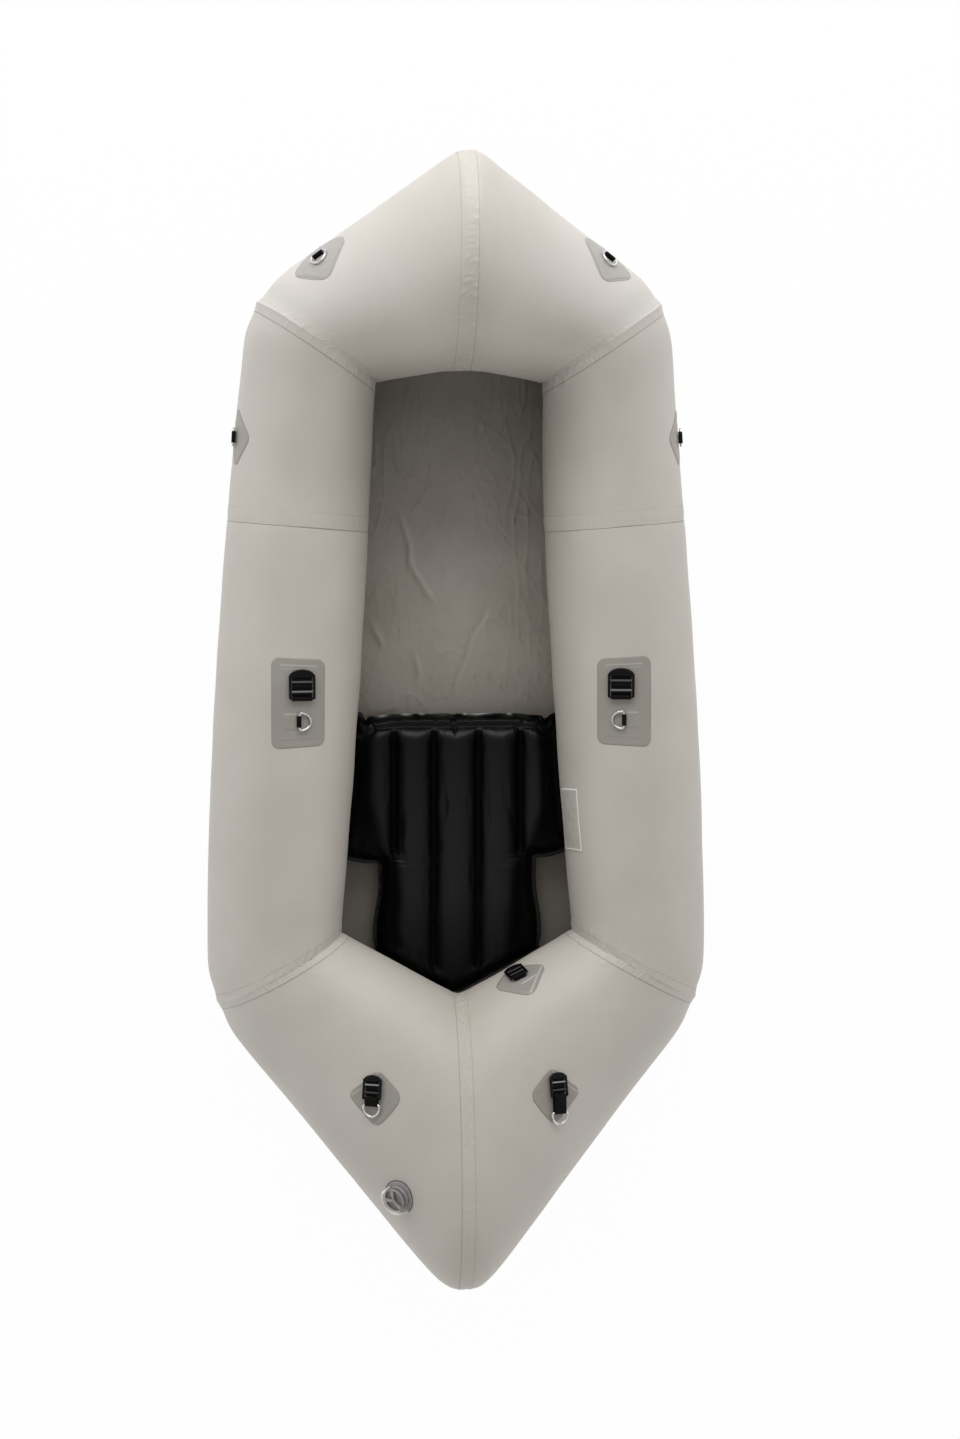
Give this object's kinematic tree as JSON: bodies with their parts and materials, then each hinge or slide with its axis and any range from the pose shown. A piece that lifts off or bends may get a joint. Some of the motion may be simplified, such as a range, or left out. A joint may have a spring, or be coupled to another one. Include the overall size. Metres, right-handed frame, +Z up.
{
  "type": "packraft",
  "caption": "Inflatable packraft: a ring of tubes with a raised bow, floor sheet, inflated seat pad, lashing rings and buckles on patches, and an inflation valve.",
  "frame": {"origin": "middle of the hull's length and width, at the underside of the flat part of the floor", "axes": "+Y towards the bow, +X towards the boat's right-hand side as one sits facing the bow, +Z up"},
  "size_m": [0.945, 2.0991, 0.5433],
  "materials": {
    "hull_fabric": "satin",
    "seam_tape": "satin",
    "floor_fabric": "satin",
    "patch_fabric": "satin",
    "seat_fabric": "satin",
    "webbing": "matte",
    "buckle_plastic": "satin",
    "ring_steel": "polished",
    "valve_plastic": "satin",
    "seal_rubber": "matte",
    "spring_steel": "satin",
    "tether_plastic": "satin"
  },
  "bodies": {
    "hull": {"bow_tube_left": "hull_fabric", "side_front_tube_left": "hull_fabric", "side_rear_tube_left": "hull_fabric", "stern_tube_left": "hull_fabric", "bow_corner_tape_left": "seam_tape", "side_seam_tape_left": "seam_tape", "stern_corner_tape_left": "seam_tape", "bow_patch_left": "patch_fabric", "front_patch_left": "patch_fabric", "side_patch_left": "patch_fabric", "stern_patch_left": "patch_fabric", "bow_ring_tab_left": "webbing", "front_ring_tab_left": "webbing", "side_ring_tab_left": "webbing", "side_buckle_tab_left": "webbing", "stern_strap_left": "webbing", "bow_tube_right": "hull_fabric", "side_front_tube_right": "hull_fabric", "side_rear_tube_right": "hull_fabric", "stern_tube_right": "hull_fabric", "bow_corner_tape_right": "seam_tape", "side_seam_tape_right": "seam_tape", "stern_corner_tape_right": "seam_tape", "bow_patch_right": "patch_fabric", "front_patch_right": "patch_fabric", "side_patch_right": "patch_fabric", "stern_patch_right": "patch_fabric", "bow_ring_tab_right": "webbing", "front_ring_tab_right": "webbing", "side_ring_tab_right": "webbing", "side_buckle_tab_right": "webbing", "stern_strap_right": "webbing", "bow_seam_tape": "seam_tape", "stern_seam_tape": "seam_tape", "floor_sheet": "floor_fabric", "seat_pad": "seat_fabric", "back_patch_right": "patch_fabric", "back_buckle_tab_right": "webbing", "valve_flange": "valve_plastic", "valve_base": "valve_plastic", "seat_valve_base": "valve_plastic", "valve_spring": "spring_steel", "valve_tether": "tether_plastic"},
    "back_buckle_right": {"back_buckle_right": "buckle_plastic"},
    "bow_ring_left": {"bow_ring_left": "ring_steel"},
    "bow_ring_right": {"bow_ring_right": "ring_steel"},
    "front_ring_left": {"front_ring_left": "ring_steel"},
    "front_ring_right": {"front_ring_right": "ring_steel"},
    "side_buckle_left": {"side_buckle_left": "buckle_plastic"},
    "side_buckle_right": {"side_buckle_right": "buckle_plastic"},
    "side_ring_left": {"side_ring_left": "ring_steel"},
    "side_ring_right": {"side_ring_right": "ring_steel"},
    "stern_buckle_left": {"stern_buckle_left": "buckle_plastic"},
    "stern_buckle_right": {"stern_buckle_right": "buckle_plastic"},
    "stern_ring_left": {"stern_ring_left": "ring_steel"},
    "stern_ring_right": {"stern_ring_right": "ring_steel"},
    "valve_cap": {"valve_cap": "valve_plastic", "valve_seal": "seal_rubber"},
    "valve_plunger": {"valve_plunger": "valve_plastic"},
    "seat_valve_knob": {"seat_valve_knob": "valve_plastic"}
  },
  "joints": [
    {"name": "back_buckle_right_hinge", "type": "hinge", "parent": "hull", "child": "back_buckle_right", "pos_m": [0.10978, -0.46859, 0.23902], "axis": [0.9016, 0.4048, -0.1521], "range_deg": [0, 120]},
    {"name": "bow_ring_left_hinge", "type": "hinge", "parent": "hull", "child": "bow_ring_left", "pos_m": [-0.26724, 0.86814, 0.32475], "axis": [-0.7774, -0.5595, -0.2875], "range_deg": [0, 150]},
    {"name": "bow_ring_right_hinge", "type": "hinge", "parent": "hull", "child": "bow_ring_right", "pos_m": [0.26724, 0.86814, 0.32475], "axis": [-0.7774, 0.5595, 0.2875], "range_deg": [0, 150]},
    {"name": "front_ring_left_hinge", "type": "hinge", "parent": "hull", "child": "front_ring_left", "pos_m": [-0.42034, 0.54016, 0.17964], "axis": [0.0579, 0.9982, -0.0153], "range_deg": [0, 150]},
    {"name": "front_ring_right_hinge", "type": "hinge", "parent": "hull", "child": "front_ring_right", "pos_m": [0.42034, 0.54016, 0.17964], "axis": [0.0579, -0.9982, 0.0153], "range_deg": [0, 150]},
    {"name": "side_buckle_left_hinge", "type": "hinge", "parent": "hull", "child": "side_buckle_left", "pos_m": [-0.29651, 0.05676, 0.27407], "axis": [0.9853, 0.0003, -0.1708], "range_deg": [0, 120]},
    {"name": "side_buckle_right_hinge", "type": "hinge", "parent": "hull", "child": "side_buckle_right", "pos_m": [0.29651, 0.05676, 0.27407], "axis": [0.9853, -0.0003, 0.1708], "range_deg": [0, 120]},
    {"name": "side_ring_left_hinge", "type": "hinge", "parent": "hull", "child": "side_ring_left", "pos_m": [-0.30171, 0.01385, 0.27379], "axis": [-0.0013, -1, -0.0095], "range_deg": [0, 150]},
    {"name": "side_ring_right_hinge", "type": "hinge", "parent": "hull", "child": "side_ring_right", "pos_m": [0.30171, 0.01385, 0.27379], "axis": [-0.0013, 1, 0.0095], "range_deg": [0, 150]},
    {"name": "stern_buckle_left_hinge", "type": "hinge", "parent": "hull", "child": "stern_buckle_left", "pos_m": [-0.1744, -0.67823, 0.3501], "axis": [0.9107, 0.0015, 0.4131], "range_deg": [0, 90]},
    {"name": "stern_buckle_right_hinge", "type": "hinge", "parent": "hull", "child": "stern_buckle_right", "pos_m": [0.1744, -0.67823, 0.3501], "axis": [0.9107, -0.0015, -0.4131], "range_deg": [0, 90]},
    {"name": "stern_ring_left_hinge", "type": "hinge", "parent": "hull", "child": "stern_ring_left", "pos_m": [-0.17446, -0.68875, 0.35028], "axis": [-0.9107, -0.0015, -0.4131], "range_deg": [0, 90]},
    {"name": "stern_ring_right_hinge", "type": "hinge", "parent": "hull", "child": "stern_ring_right", "pos_m": [0.17491, -0.70823, 0.35133], "axis": [-0.9107, 0.0015, 0.4131], "range_deg": [0, 90]},
    {"name": "valve_cap_turn", "type": "hinge", "parent": "hull", "child": "valve_cap", "pos_m": [-0.12456, -0.85997, 0.35911], "axis": [-0.6677, -0.2478, 0.7019], "range_deg": [0, 90]},
    {"name": "valve_plunger_slide", "type": "slide", "parent": "hull", "child": "valve_plunger", "axis": [0.6677, 0.2478, -0.7019], "range_m": [0, 0.006], "stiffness_N_per_m": 250, "springref_m": -0.004, "deforming": ["valve_spring"]},
    {"name": "seat_valve_knob_turn", "type": "hinge", "parent": "hull", "child": "seat_valve_knob", "pos_m": [0, -0.5297, 0.03327], "axis": [0, -1, 0], "range_deg": [0, 90]}
  ]
}
